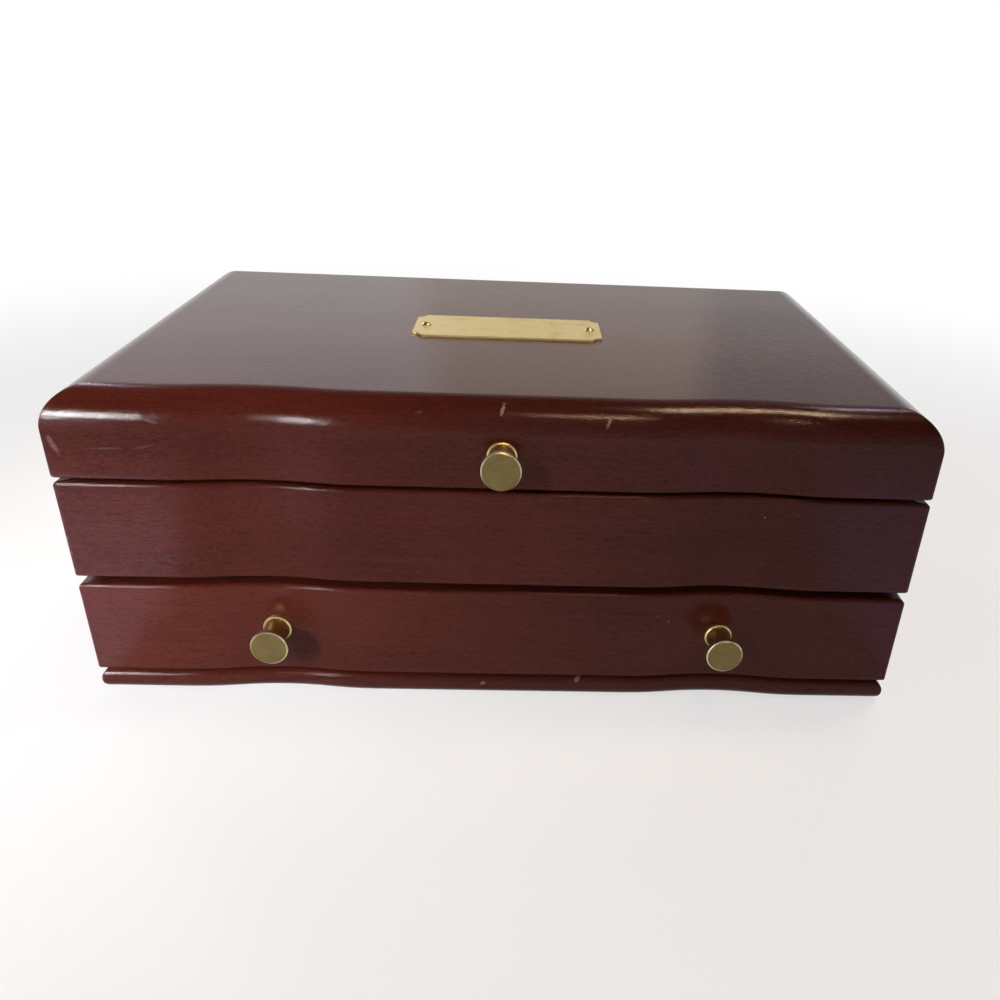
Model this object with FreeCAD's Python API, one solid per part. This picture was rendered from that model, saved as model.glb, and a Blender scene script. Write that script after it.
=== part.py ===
"""Cufflink box with a lift-up lid and one drawer.

Millimetres.  Origin: centre of the underside.  +X to the right, +Y to the back, +Z up.
"""
import FreeCAD, Part
import math
import os

Vector = FreeCAD.Vector

# ---- driving sizes: outside ----
box_width = 280.0
box_depth = 186.0
felt_thick = 1.0
felt_inset = 4.0
plinth_thick = 7.8
plinth_round = 3.6
drawer_foot_gap = 0.6
drawer_front_height = 34.0
drawer_head_gap = 2.6
tier_height = 33.9
lid_seam = 1.0
lid_height = 27.6
lid_panel_thick = 12.0
lid_round = 11.9
edge_ease = 1.4
back_ease = 0.8

# ---- driving sizes: the wavy front, the same on every tier ----
scoop_centre = 77.0
scoop_half_width = 32.5
scoop_depth = 2.4

# ---- driving sizes: boards ----
front_thick = 16.0
side_thick = 12.0
back_thick = 12.0
deck_thick = 4.0
deck_dado = 4.0
drawer_wall = 9.0
drawer_bottom_thick = 3.0
drawer_bottom_dado = 3.0
drawer_bottom_lift = 2.0
drawer_side_drop = 2.2
drawer_side_dado = 5.0

# ---- driving sizes: drawer run ----
glide_thick = 1.2
glide_width = 8.0
kicker_width = 8.0
stop_length = 40.0
stop_depth = 6.0
stop_set_back = 24.7
stop_catch = 2.5
slide_gap = 0.3
side_gap = 0.6
kicker_gap = 0.5
drawer_back_gap = 3.0

# ---- driving sizes: linings and dividers ----
pad_thick = 2.0
liner_thick = 1.5
liner_rim_drop = 2.0
lid_pad_thick = 4.5
divider_thick = 2.0
lap_gap = 0.1
tray_divider_height = 21.0
tray_cell_columns = 4
tray_cell_rows = 3
roll_bay_width = 96.0
tie_bay_depth = 44.0
roll_count = 6
roll_gap = 1.0
roll_height = 22.0
roll_end_gap = 0.5
drawer_divider_height = 17.0
drawer_bay_count = 3

# ---- driving sizes: brass fittings ----
knob_head_radius = 6.2
knob_flange_radius = 4.8
knob_neck_radius = 3.6
knob_length = 13.6
knob_head_thick = 2.2
knob_flange_thick = 1.3
knob_bevel = 0.45
knob_bore_depth = 7.5
knob_screw_radius = 1.75
knob_screw_head_radius = 3.0
knob_screw_head_thick = 2.2
lid_knob_drop = 15.9
plate_width = 72.0
plate_length = 30.6
plate_thick = 0.8
plate_corner = 3.4
plate_back_shift = 0.8
plate_screw_inset = 4.3
plate_screw_radius = 0.9
plate_screw_head_radius = 2.1
plate_screw_head_height = 1.0
plate_screw_length = 6.0
recess_width = 0.45
recess_depth = 0.5

# ---- driving sizes: stop hinges ----
hinge_spread = 170.0
hinge_length = 32.0
hinge_leaf_width = 8.5
hinge_leaf_thick = 1.0
hinge_leaf_gap = 0.2
barrel_radius = 2.2
barrel_back_gap = 0.2
barrel_end_gap = 0.2
pin_radius = 1.0
pin_gap = 0.05
knuckle_count = 3
lid_open_angle = 100.0
stop_lip_reach = 6.2
stop_lip_thick = 1.0
stop_lip_angle = -50.0
stop_lip_gap_angle = 3.0
hinge_screw_spread = 20.0
hinge_screw_radius = 0.9
hinge_screw_head_radius = 1.9
hinge_screw_length = 8.0
bumper_radius = 4.0
bumper_inset = 14.0
bumper_gap = 0.1

# ---- levels and planes worked out from the driving sizes ----
half_width = box_width / 2
front_y = -box_depth / 2
back_y = box_depth / 2
plinth_top = felt_thick + plinth_thick
drawer_front_low = plinth_top + drawer_foot_gap
drawer_front_top = drawer_front_low + drawer_front_height
tier_low = drawer_front_top + drawer_head_gap
tier_top = tier_low + tier_height
lid_low = tier_top + lid_seam
lid_top = lid_low + lid_height
lid_panel_low = lid_top - lid_panel_thick
inner_x = half_width - side_thick
inner_front_y = front_y + front_thick
inner_back_y = back_y - back_thick
deck_top = tier_low + deck_thick
scoop_face_y = front_y + scoop_depth


def box(x_low, x_high, y_low, y_high, z_low, z_high):
    """A rectangular block between two corners."""
    size = (x_high - x_low, y_high - y_low, z_high - z_low)
    return Part.makeBox(*size, Vector(x_low, y_low, z_low))


def prism(points, z_low, z_high):
    """A block with a plan outline of straight edges; a corner given twice counts once."""
    corners = []
    for x, y in points:
        corner = Vector(x, y, z_low)
        if not corners or corner.distanceToPoint(corners[-1]) > 1e-6:
            corners.append(corner)
    outline = Part.makePolygon(corners + corners[:1])
    return Part.Face(outline).extrude(Vector(0, 0, z_high - z_low))


def fused(shapes):
    """One clean solid from touching pieces."""
    return shapes[0].multiFuse(shapes[1:]).removeSplitter()


def cut_all(shape, tools):
    """The shape with every tool taken away."""
    for tool in tools:
        shape = shape.cut(tool)
    return shape


# ---- the wavy front ----
def scoop_edges(centre_x, z):
    """One shallow scoop: a convex, a concave and a convex arc, tangent to each other."""
    half = scoop_half_width / 2
    rise = scoop_depth / 2
    radius = (half ** 2 + rise ** 2) / scoop_depth
    middle_angle = math.asin(half / radius) / 2
    run_in = radius * math.sin(middle_angle)
    run_up = radius * (1 - math.cos(middle_angle))

    def at(offset, inward):
        return Vector(centre_x + offset, front_y + inward, z)

    start = at(-scoop_half_width, 0)
    first = at(-half, rise)
    last = at(half, rise)
    end = at(scoop_half_width, 0)
    arcs = [
        Part.Arc(start, at(-scoop_half_width + run_in, run_up), first),
        Part.Arc(first, at(0, scoop_depth), last),
        Part.Arc(last, at(scoop_half_width - run_in, run_up), end),
    ]
    return [arc.toShape() for arc in arcs]


def wavy_block(z_low, z_high, plane_y):
    """A full-width block with the wavy front, back to a flat plane."""
    left = Vector(-half_width, front_y, z_low)
    right = Vector(half_width, front_y, z_low)
    left_end = Vector(-scoop_centre - scoop_half_width, front_y, z_low)
    left_mid = Vector(-scoop_centre + scoop_half_width, front_y, z_low)
    right_mid = Vector(scoop_centre - scoop_half_width, front_y, z_low)
    right_end = Vector(scoop_centre + scoop_half_width, front_y, z_low)
    back_right = Vector(half_width, plane_y, z_low)
    back_left = Vector(-half_width, plane_y, z_low)
    edges = [Part.makeLine(left, left_end)]
    edges += scoop_edges(-scoop_centre, z_low)
    edges += [Part.makeLine(left_mid, right_mid)]
    edges += scoop_edges(scoop_centre, z_low)
    edges += [
        Part.makeLine(right_end, right),
        Part.makeLine(right, back_right),
        Part.makeLine(back_right, back_left),
        Part.makeLine(back_left, left),
    ]
    face = Part.Face(Part.Wire(edges))
    return face.extrude(Vector(0, 0, z_high - z_low))


def rim_edges(shape, level):
    """The edges at one level that lie on the outside of the box."""
    found = []
    for edge in shape.Edges:
        limits = edge.BoundBox
        at_level = abs(limits.ZMin - level) < 1e-4 and abs(limits.ZMax - level) < 1e-4
        on_side = min(abs(limits.XMin), abs(limits.XMax)) > half_width - 1e-4
        on_front = limits.YMax < front_y + scoop_depth + 1e-3
        on_back = limits.YMin > back_y - 1e-4
        if at_level and (on_side or on_front or on_back):
            found.append(edge)
    return found


def eased(shape, levels):
    """The shape with its outer edges at these levels rounded a little."""
    rims = []
    for level in levels:
        rims += rim_edges(shape, level)
    return shape.makeFillet(edge_ease, rims)


# ---- the four mitred walls ----
def wall_plans():
    """Outline of each wall in plan: mitred at 45 degrees through the thinner wall."""
    front_mitre = min(front_thick, side_thick)
    back_mitre = min(back_thick, side_thick)
    right_front = [
        (half_width, front_y),
        (half_width - front_mitre, front_y + front_mitre),
        (inner_x, inner_front_y),
    ]
    right_back = [
        (half_width, back_y),
        (half_width - back_mitre, back_y - back_mitre),
        (inner_x, inner_back_y),
    ]
    left_front = [(-x, y) for x, y in right_front]
    left_back = [(-x, y) for x, y in right_back]
    return {
        "front": right_front + left_front[::-1],
        "back": right_back + left_back[::-1],
        "side_right": right_front + right_back[::-1],
        "side_left": left_front + left_back[::-1],
    }


def mitred_walls(z_low, z_high, levels):
    """Four walls under the wavy outline, parted at the mitres, then eased at these levels."""
    block = wavy_block(z_low, z_high, back_y)
    return {
        name: eased(block.common(prism(plan, z_low, z_high)), levels)
        for name, plan in wall_plans().items()
    }


# ---- base ----
def make_base():
    plinth = wavy_block(felt_thick, plinth_top, back_y)
    rims = rim_edges(plinth, felt_thick) + rim_edges(plinth, plinth_top)
    felt = box(
        -half_width + felt_inset, half_width - felt_inset,
        front_y + felt_inset + scoop_depth, back_y - felt_inset, 0, felt_thick,
    )
    return {"base_plinth": plinth.makeFillet(plinth_round, rims), "base_felt": felt}


# ---- case ----
def deck_solid():
    """The board between the tray and the drawer bay, let into all four walls."""
    return box(
        -inner_x - deck_dado, inner_x + deck_dado,
        inner_front_y - deck_dado, inner_back_y + deck_dado, tier_low, deck_top,
    )


def side_ease_strip(sign):
    """What is taken off a side wall to ease its lower edge above the drawer front."""
    outer = sign * half_width
    inner = sign * (half_width - edge_ease)
    corner = box(
        min(outer, inner), max(outer, inner), front_y, inner_front_y,
        tier_low, tier_low + edge_ease,
    )
    kept = Part.makeCylinder(
        edge_ease, front_thick, Vector(inner, front_y, tier_low + edge_ease), Vector(0, 1, 0),
    )
    return corner.cut(kept)


def make_case():
    front = mitred_walls(tier_low, tier_top, [tier_low, tier_top])["front"]
    walls = mitred_walls(plinth_top, tier_top, [tier_top])
    deck = deck_solid()
    drawer_front_room = box(
        -half_width, half_width, front_y, inner_front_y, plinth_top, tier_low,
    )
    return {
        "case_front": front.cut(deck),
        "case_back": cut_all(walls["back"], [deck] + leaf_pockets(-1)),
        "case_side_left": cut_all(
            walls["side_left"], [drawer_front_room, deck, side_ease_strip(-1)]
        ),
        "case_side_right": cut_all(
            walls["side_right"], [drawer_front_room, deck, side_ease_strip(1)]
        ),
        "deck": deck,
    }


# ---- drawer bay ----
drawer_low = plinth_top + glide_thick + slide_gap
drawer_rim = drawer_front_top - drawer_side_drop
drawer_half = inner_x - side_gap
drawer_back_face = inner_back_y - drawer_back_gap
drawer_inner_back = drawer_back_face - drawer_wall
stop_face_y = inner_front_y + stop_set_back + stop_depth
drawer_travel = drawer_inner_back - stop_face_y - slide_gap


def make_drawer_run():
    """Glides under the drawer, kickers over its sides and the stop that ends its travel."""
    parts = {}
    for name, sign in (("left", -1), ("right", 1)):
        outer = sign * inner_x
        glide_inner = sign * (inner_x - glide_width)
        kicker_inner = sign * (inner_x - kicker_width)
        parts["drawer_glide_" + name] = box(
            min(outer, glide_inner), max(outer, glide_inner),
            inner_front_y, inner_back_y, plinth_top, plinth_top + glide_thick,
        )
        parts["drawer_kicker_" + name] = box(
            min(outer, kicker_inner), max(outer, kicker_inner),
            inner_front_y, inner_back_y, drawer_rim + kicker_gap, tier_low,
        )
    parts["drawer_stop"] = box(
        -stop_length / 2, stop_length / 2, stop_face_y - stop_depth, stop_face_y,
        drawer_rim - stop_catch, tier_low,
    )
    return parts


# ---- drawer ----
def knob_hole(x, z, seat_y, inside_y):
    """The stepped hole of a knob screw: a flat seat in front, the head let in from behind."""
    seat = Part.makeCylinder(
        knob_flange_radius, scoop_depth, Vector(x, seat_y - scoop_depth, z), Vector(0, 1, 0),
    )
    shank = Part.makeCylinder(
        knob_screw_radius, inside_y - seat_y, Vector(x, seat_y, z), Vector(0, 1, 0),
    )
    head = Part.makeCylinder(
        knob_screw_head_radius, knob_screw_head_thick,
        Vector(x, inside_y - knob_screw_head_thick, z), Vector(0, 1, 0),
    )
    return fused([seat, shank, head])


drawer_floor_low = drawer_low + drawer_bottom_lift
drawer_floor_top = drawer_floor_low + drawer_bottom_thick
drawer_inner_x = drawer_half - drawer_wall
drawer_knob_z = (drawer_front_low + drawer_front_top) / 2


def make_drawer():
    front = wavy_block(drawer_front_low, drawer_front_top, inner_front_y)
    front = eased(front, [drawer_front_low, drawer_front_top])
    side = box(
        drawer_inner_x, drawer_half, inner_front_y - drawer_side_dado, drawer_back_face,
        drawer_low, drawer_rim,
    )
    sides = {"left": side.mirror(Vector(0, 0, 0), Vector(1, 0, 0)), "right": side}
    bottom = box(
        -drawer_inner_x - drawer_bottom_dado, drawer_inner_x + drawer_bottom_dado,
        inner_front_y - drawer_bottom_dado, drawer_inner_back + drawer_bottom_dado,
        drawer_floor_low, drawer_floor_top,
    )
    back = box(
        -drawer_inner_x, drawer_inner_x, drawer_inner_back, drawer_back_face,
        drawer_low, drawer_rim,
    )
    holes = [
        knob_hole(sign * scoop_centre, drawer_knob_z, scoop_face_y, inner_front_y)
        for sign in (-1, 1)
    ]
    return {
        "drawer_front": cut_all(front, [sides["left"], sides["right"], bottom] + holes),
        "drawer_side_left": sides["left"].cut(bottom),
        "drawer_side_right": sides["right"].cut(bottom),
        "drawer_back": back.cut(bottom),
        "drawer_bottom": bottom,
    }


# ---- linings: a floor pad, a wall liner ring and dividers ----
def liner_ring(x_half, y_low, y_high, z_low, z_high):
    """A thin lining board bent round the four inner walls."""
    outside = box(-x_half, x_half, y_low, y_high, z_low, z_high)
    inside = box(
        -x_half + liner_thick, x_half - liner_thick,
        y_low + liner_thick, y_high - liner_thick, z_low, z_high,
    )
    return outside.cut(inside)


tray_floor = deck_top + pad_thick
tray_x = inner_x - liner_thick
tray_front = inner_front_y + liner_thick
tray_back = inner_back_y - liner_thick
divider_top = tray_floor + tray_divider_height
roll_bay_left = tray_x - roll_bay_width
spine_left = roll_bay_left - divider_thick
shelf_front = tray_front + tie_bay_depth
lap_level = tray_floor + tray_divider_height / 2


def spaced(low, high, bays):
    """Low sides of the dividers that part a stretch into equal bays."""
    bay = (high - low - (bays - 1) * divider_thick) / bays
    return [low + bay * (index + 1) + divider_thick * index for index in range(bays - 1)]


def make_tray():
    column_places = spaced(-tray_x, spine_left, tray_cell_columns)
    row_places = spaced(tray_front, tray_back, tray_cell_rows)
    parts = {
        "tray_floor_pad": box(
            -inner_x, inner_x, inner_front_y, inner_back_y, deck_top, tray_floor,
        ),
        "tray_liner": liner_ring(
            inner_x, inner_front_y, inner_back_y, tray_floor, tier_top - liner_rim_drop,
        ),
        "tray_spine": box(
            spine_left, roll_bay_left, tray_front, tray_back, tray_floor, divider_top,
        ),
        "tray_tie_divider": box(
            roll_bay_left, tray_x, shelf_front, shelf_front + divider_thick,
            tray_floor, divider_top,
        ),
    }
    row_slots = [
        box(
            x - lap_gap, x + divider_thick + lap_gap, tray_front, tray_back,
            lap_level, divider_top,
        )
        for x in column_places
    ]
    column_slots = [
        box(
            -tray_x, spine_left, y - lap_gap, y + divider_thick + lap_gap,
            tray_floor, lap_level + lap_gap,
        )
        for y in row_places
    ]
    for number, y in enumerate(row_places, 1):
        row = box(-tray_x, spine_left, y, y + divider_thick, tray_floor, divider_top)
        parts["tray_row_divider_%d" % number] = cut_all(row, row_slots)
    for number, x in enumerate(column_places, 1):
        column = box(x, x + divider_thick, tray_front, tray_back, tray_floor, divider_top)
        parts["tray_column_divider_%d" % number] = cut_all(column, column_slots)
    return parts


def make_rolls():
    """Padded rolls side by side, with slits between them for cufflinks and rings."""
    low = shelf_front + divider_thick + roll_gap
    high = tray_back - roll_gap
    roll_width = (high - low - (roll_count - 1) * roll_gap) / roll_count
    radius = roll_width / 2
    x_low = roll_bay_left + roll_end_gap
    length = roll_bay_width - 2 * roll_end_gap
    z_low = tray_floor
    shoulder = tray_floor + roll_height - radius
    parts = {}
    for number in range(roll_count):
        y_low = low + number * (roll_width + roll_gap)
        centre = y_low + radius
        corner_front = Vector(x_low, y_low, z_low)
        corner_back = Vector(x_low, y_low + roll_width, z_low)
        shoulder_front = Vector(x_low, y_low, shoulder)
        shoulder_back = Vector(x_low, y_low + roll_width, shoulder)
        crown = Vector(x_low, centre, tray_floor + roll_height)
        outline = Part.Wire([
            Part.makeLine(corner_front, corner_back),
            Part.makeLine(corner_back, shoulder_back),
            Part.Arc(shoulder_back, crown, shoulder_front).toShape(),
            Part.makeLine(shoulder_front, corner_front),
        ])
        roll = Part.Face(outline).extrude(Vector(length, 0, 0))
        parts["cufflink_roll_%d" % (number + 1)] = roll
    return parts


def make_drawer_lining():
    floor = drawer_floor_top + pad_thick
    x_half = drawer_inner_x - liner_thick
    y_low = inner_front_y + liner_thick
    y_high = drawer_inner_back - liner_thick
    parts = {
        "drawer_floor_pad": box(
            -drawer_inner_x, drawer_inner_x, inner_front_y, drawer_inner_back,
            drawer_floor_top, floor,
        ),
        "drawer_liner": liner_ring(
            drawer_inner_x, inner_front_y, drawer_inner_back,
            floor, drawer_rim - stop_catch - slide_gap,
        ),
    }
    for number, x in enumerate(spaced(-x_half, x_half, drawer_bay_count), 1):
        parts["drawer_divider_%d" % number] = box(
            x, x + divider_thick, y_low, y_high, floor, floor + drawer_divider_height,
        )
    return parts


# ---- lid ----
lid_knob_z = lid_top - lid_knob_drop
plate_y = plate_back_shift


def back_ease_strip():
    """What is taken off to ease the lid's top edge at the back."""
    corner = box(
        -half_width, half_width, back_y - back_ease, back_y, lid_top - back_ease, lid_top,
    )
    kept = Part.makeCylinder(
        back_ease, box_width,
        Vector(-half_width, back_y - back_ease, lid_top - back_ease), Vector(1, 0, 0),
    )
    return corner.cut(kept)


def make_lid():
    panel = wavy_block(lid_panel_low, lid_top, back_y)
    rounded_rims = [
        edge for edge in rim_edges(panel, lid_top) if edge.BoundBox.YMin < back_y - 1e-4
    ]
    panel = panel.makeFillet(min(lid_round, lid_panel_thick), rounded_rims)
    rails = mitred_walls(lid_low, lid_panel_low, [lid_low])
    pad_low = lid_panel_low - lid_pad_thick
    return {
        "lid_panel": cut_all(panel, [back_ease_strip()] + plate_screw_solids()),
        "lid_front_rail": rails["front"].cut(
            knob_hole(0, lid_knob_z, front_y, inner_front_y)
        ),
        "lid_back_rail": cut_all(rails["back"], leaf_pockets(1)),
        "lid_side_rail_left": rails["side_left"],
        "lid_side_rail_right": rails["side_right"],
        "lid_pad": box(
            -inner_x, inner_x, inner_front_y, inner_back_y, pad_low, lid_panel_low,
        ),
        "lid_liner": liner_ring(
            inner_x, inner_front_y, inner_back_y, lid_low + liner_rim_drop, pad_low,
        ),
    }


# ---- brass knobs ----
def knob_solid(x, z, face_y):
    """A turned knob standing out of a front face, bored for its screw."""
    neck_low = knob_flange_thick
    neck_high = knob_length - knob_head_thick
    waist = (neck_low + neck_high) / 2
    outline = Part.Wire([
        Part.makeLine(Vector(0, 0, 0), Vector(knob_flange_radius, 0, 0)),
        Part.makeLine(
            Vector(knob_flange_radius, 0, 0),
            Vector(knob_flange_radius, 0, knob_flange_thick - knob_bevel),
        ),
        Part.makeLine(
            Vector(knob_flange_radius, 0, knob_flange_thick - knob_bevel),
            Vector(knob_flange_radius - knob_bevel, 0, neck_low),
        ),
        Part.Arc(
            Vector(knob_flange_radius - knob_bevel, 0, neck_low),
            Vector(knob_neck_radius, 0, waist),
            Vector(knob_flange_radius - knob_bevel, 0, neck_high),
        ).toShape(),
        Part.makeLine(
            Vector(knob_flange_radius - knob_bevel, 0, neck_high),
            Vector(knob_head_radius, 0, neck_high + knob_bevel),
        ),
        Part.makeLine(
            Vector(knob_head_radius, 0, neck_high + knob_bevel),
            Vector(knob_head_radius, 0, knob_length - knob_bevel),
        ),
        Part.makeLine(
            Vector(knob_head_radius, 0, knob_length - knob_bevel),
            Vector(knob_head_radius - knob_bevel, 0, knob_length),
        ),
        Part.makeLine(
            Vector(knob_head_radius - knob_bevel, 0, knob_length), Vector(0, 0, knob_length),
        ),
        Part.makeLine(Vector(0, 0, knob_length), Vector(0, 0, 0)),
    ])
    knob = Part.Face(outline).revolve(Vector(0, 0, 0), Vector(0, 0, 1), 360)
    knob = knob.cut(Part.makeCylinder(knob_screw_radius, knob_bore_depth))
    knob.rotate(Vector(0, 0, 0), Vector(1, 0, 0), 90)
    knob.translate(Vector(x, face_y, z))
    return knob


def knob_screw_solid(x, z, face_y, inside_y):
    """The machine screw that holds a knob, from inside the board."""
    shank = Part.makeCylinder(
        knob_screw_radius, inside_y - face_y + knob_bore_depth,
        Vector(x, face_y - knob_bore_depth, z), Vector(0, 1, 0),
    )
    head = Part.makeCylinder(
        knob_screw_head_radius, knob_screw_head_thick,
        Vector(x, inside_y - knob_screw_head_thick, z), Vector(0, 1, 0),
    )
    return fused([shank, head])


def make_knobs():
    drawer_screws = [
        knob_screw_solid(sign * scoop_centre, drawer_knob_z, scoop_face_y, inner_front_y)
        for sign in (-1, 1)
    ]
    return {
        "lid_knob": knob_solid(0, lid_knob_z, front_y),
        "lid_knob_screw": knob_screw_solid(0, lid_knob_z, front_y, inner_front_y),
        "drawer_knob_left": knob_solid(-scoop_centre, drawer_knob_z, scoop_face_y),
        "drawer_knob_right": knob_solid(scoop_centre, drawer_knob_z, scoop_face_y),
        "drawer_knob_screws": Part.makeCompound(drawer_screws),
    }


# ---- name plate ----
def plate_screw_solids():
    """Two small domed screws with a cross recess, through the plate into the lid."""
    radius = plate_screw_head_radius
    rise = plate_screw_head_height
    dome_radius = (radius ** 2 + rise ** 2) / (2 * rise)
    top = lid_top + plate_thick
    screws = []
    for sign in (-1, 1):
        x = sign * (plate_width / 2 - plate_screw_inset)
        centre = Vector(x, plate_y, top + rise - dome_radius)
        dome = Part.makeSphere(dome_radius, centre)
        dome = dome.common(Part.makeCylinder(radius, rise, Vector(x, plate_y, top)))
        shank = Part.makeCylinder(
            plate_screw_radius, plate_screw_length, Vector(x, plate_y, top - plate_screw_length),
        )
        slot_low = top + rise - recess_depth
        along = box(
            x - radius / 2, x + radius / 2, plate_y - recess_width / 2,
            plate_y + recess_width / 2, slot_low, top + rise,
        )
        across = box(
            x - recess_width / 2, x + recess_width / 2, plate_y - radius / 2,
            plate_y + radius / 2, slot_low, top + rise,
        )
        screws.append(cut_all(fused([dome, shank]), [along, across]))
    return screws


def make_name_plate():
    """A bare brass plate with scooped corners."""
    x_half = plate_width / 2
    y_half = plate_length / 2
    plate = box(-x_half, x_half, plate_y - y_half, plate_y + y_half, lid_top, lid_top + plate_thick)
    corners = [
        Part.makeCylinder(
            plate_corner, plate_thick,
            Vector(x_sign * x_half, plate_y + y_sign * y_half, lid_top),
        )
        for x_sign in (-1, 1)
        for y_sign in (-1, 1)
    ]
    return {
        "name_plate": cut_all(plate, corners + plate_screw_solids()),
        "name_plate_screws": Part.makeCompound(plate_screw_solids()),
    }


# ---- stop hinges ----
pin_y = back_y + barrel_radius + barrel_back_gap
pin_z = tier_top + lid_seam / 2
leaf_split = hinge_leaf_gap / 2
knuckle_pitch = hinge_length / knuckle_count
leaf_front_y = back_y - hinge_leaf_width


def leaf_level(sign):
    """Low and high level of the case leaf (-1) or the lid leaf (1)."""
    near = pin_z + sign * leaf_split
    far = near + sign * hinge_leaf_thick
    return min(near, far), max(near, far)


def lip_wedge(x_low, x_high, inner_radius, face_angle, sign):
    """A stop lip: a thin plate whose stopping face lies on a radius of the barrel."""
    angle = math.radians(face_angle)
    along = Vector(0, math.cos(angle), math.sin(angle))
    across = Vector(0, -math.sin(angle), math.cos(angle)) * (sign * stop_lip_thick)
    start = Vector(x_low, pin_y, pin_z) + along * inner_radius
    end = Vector(x_low, pin_y, pin_z) + along * stop_lip_reach
    corners = [start, end, end + across, start + across]
    outline = Part.makePolygon(corners + corners[:1])
    return Part.Face(outline).extrude(Vector(x_high - x_low, 0, 0))


def hinge_leaf(centre_x, sign):
    """One leaf with its knuckles and stop lip; the case leaf holds the two outer knuckles."""
    low, high = leaf_level(sign)
    left = centre_x - hinge_length / 2
    right = centre_x + hinge_length / 2
    if sign < 0:
        spans = [(left, left + knuckle_pitch), (right - knuckle_pitch, right)]
        lip_angle = stop_lip_angle
    else:
        spans = [(left + knuckle_pitch + barrel_end_gap, right - knuckle_pitch - barrel_end_gap)]
        lip_angle = stop_lip_angle + lid_open_angle + stop_lip_gap_angle
    pieces = [box(left, right, leaf_front_y, back_y, low, high)]
    clear_radius = barrel_radius + barrel_back_gap
    pieces.append(lip_wedge(left, right, clear_radius, lip_angle, sign))
    for start, end in spans:
        pieces.append(box(start, end, back_y, pin_y, low, high))
        pieces.append(Part.makeCylinder(
            barrel_radius, end - start, Vector(start, pin_y, pin_z), Vector(1, 0, 0),
        ))
        pieces.append(lip_wedge(start, end, pin_radius + pin_gap, lip_angle, sign))
    bore = Part.makeCylinder(
        pin_radius + pin_gap, hinge_length, Vector(left, pin_y, pin_z), Vector(1, 0, 0),
    )
    return cut_all(fused(pieces), [bore] + hinge_screws_at(centre_x, sign))


def hinge_screws_at(centre_x, sign):
    """The countersunk screws of one leaf."""
    low, high = leaf_level(sign)
    face = high if sign < 0 else low
    down = Vector(0, 0, sign)
    screws = []
    for offset in (-hinge_screw_spread / 2, hinge_screw_spread / 2):
        centre = Vector(centre_x + offset, (leaf_front_y + back_y) / 2, face)
        head = Part.makeCone(
            hinge_screw_head_radius, hinge_screw_radius, hinge_leaf_thick, centre, down,
        )
        shank = Part.makeCylinder(hinge_screw_radius, hinge_screw_length, centre, down)
        screws.append(fused([head, shank]))
    return screws


def hinge_centres():
    return {"left": -hinge_spread / 2, "right": hinge_spread / 2}


def leaf_pockets(sign):
    """The leaf and screw shapes that a back rail is cut for."""
    low, high = leaf_level(sign)
    tools = []
    for centre_x in hinge_centres().values():
        half = hinge_length / 2
        tools.append(box(centre_x - half, centre_x + half, leaf_front_y, back_y, low, high))
        tools += hinge_screws_at(centre_x, sign)
    return tools


def make_hinges():
    parts = {}
    for name, centre_x in hinge_centres().items():
        parts["hinge_case_leaf_" + name] = hinge_leaf(centre_x, -1)
        parts["hinge_lid_leaf_" + name] = hinge_leaf(centre_x, 1)
        parts["hinge_pin_" + name] = Part.makeCylinder(
            pin_radius, hinge_length, Vector(centre_x - hinge_length / 2, pin_y, pin_z),
            Vector(1, 0, 0),
        )
    for name, sign in (("case", -1), ("lid", 1)):
        screws = []
        for centre_x in hinge_centres().values():
            screws += hinge_screws_at(centre_x, sign)
        parts["hinge_%s_screws" % name] = Part.makeCompound(screws)
    return parts


def make_bumpers():
    """Two thin felt dots on the case front's rim, which set the seam."""
    y = (front_y + inner_front_y) / 2
    dots = [
        Part.makeCylinder(
            bumper_radius, lid_seam - bumper_gap,
            Vector(sign * (half_width - bumper_inset), y, tier_top),
        )
        for sign in (-1, 1)
    ]
    return {"lid_bumpers": Part.makeCompound(dots)}


def main():
    os.makedirs("parts", exist_ok=True)
    makers = (
        make_base, make_case, make_drawer_run, make_drawer, make_drawer_lining,
        make_tray, make_rolls, make_lid, make_knobs, make_name_plate,
        make_hinges, make_bumpers,
    )
    for maker in makers:
        for name, shape in maker().items():
            shape.exportStep("parts/%s.step" % name)


main()
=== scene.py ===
import math

import bpy
from mathutils import Matrix, Vector


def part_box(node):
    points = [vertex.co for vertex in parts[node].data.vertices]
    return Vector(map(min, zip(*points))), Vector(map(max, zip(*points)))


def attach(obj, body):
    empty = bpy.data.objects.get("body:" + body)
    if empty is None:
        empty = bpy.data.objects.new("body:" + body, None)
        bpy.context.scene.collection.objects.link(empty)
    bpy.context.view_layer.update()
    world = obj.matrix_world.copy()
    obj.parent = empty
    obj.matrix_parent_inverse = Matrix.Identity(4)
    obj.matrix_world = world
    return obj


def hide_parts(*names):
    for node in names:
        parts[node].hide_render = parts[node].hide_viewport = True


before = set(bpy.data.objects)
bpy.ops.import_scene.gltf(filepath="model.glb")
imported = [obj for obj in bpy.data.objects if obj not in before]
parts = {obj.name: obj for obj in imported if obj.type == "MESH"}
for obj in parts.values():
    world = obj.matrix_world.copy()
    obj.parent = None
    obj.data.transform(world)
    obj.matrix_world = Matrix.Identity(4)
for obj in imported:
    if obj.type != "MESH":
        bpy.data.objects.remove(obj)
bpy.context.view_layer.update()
print("frame loaded:", len(parts), "nodes")

cameraView = {
    "place": (0.00555, -0.36615, 0.19932),
    "yaw": 3.2716,          # degrees to the right of +Y
    "pitch": 30.567,        # degrees below level
    "roll": 2.8132,
    "filmWidth": 36,        # millimetres
    "focalShare": 0.92478,  # focal length over film width
    "shift": (-0.0623, 0.1085),
    "nearest": 0.01,
    "farthest": 60,
}


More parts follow.
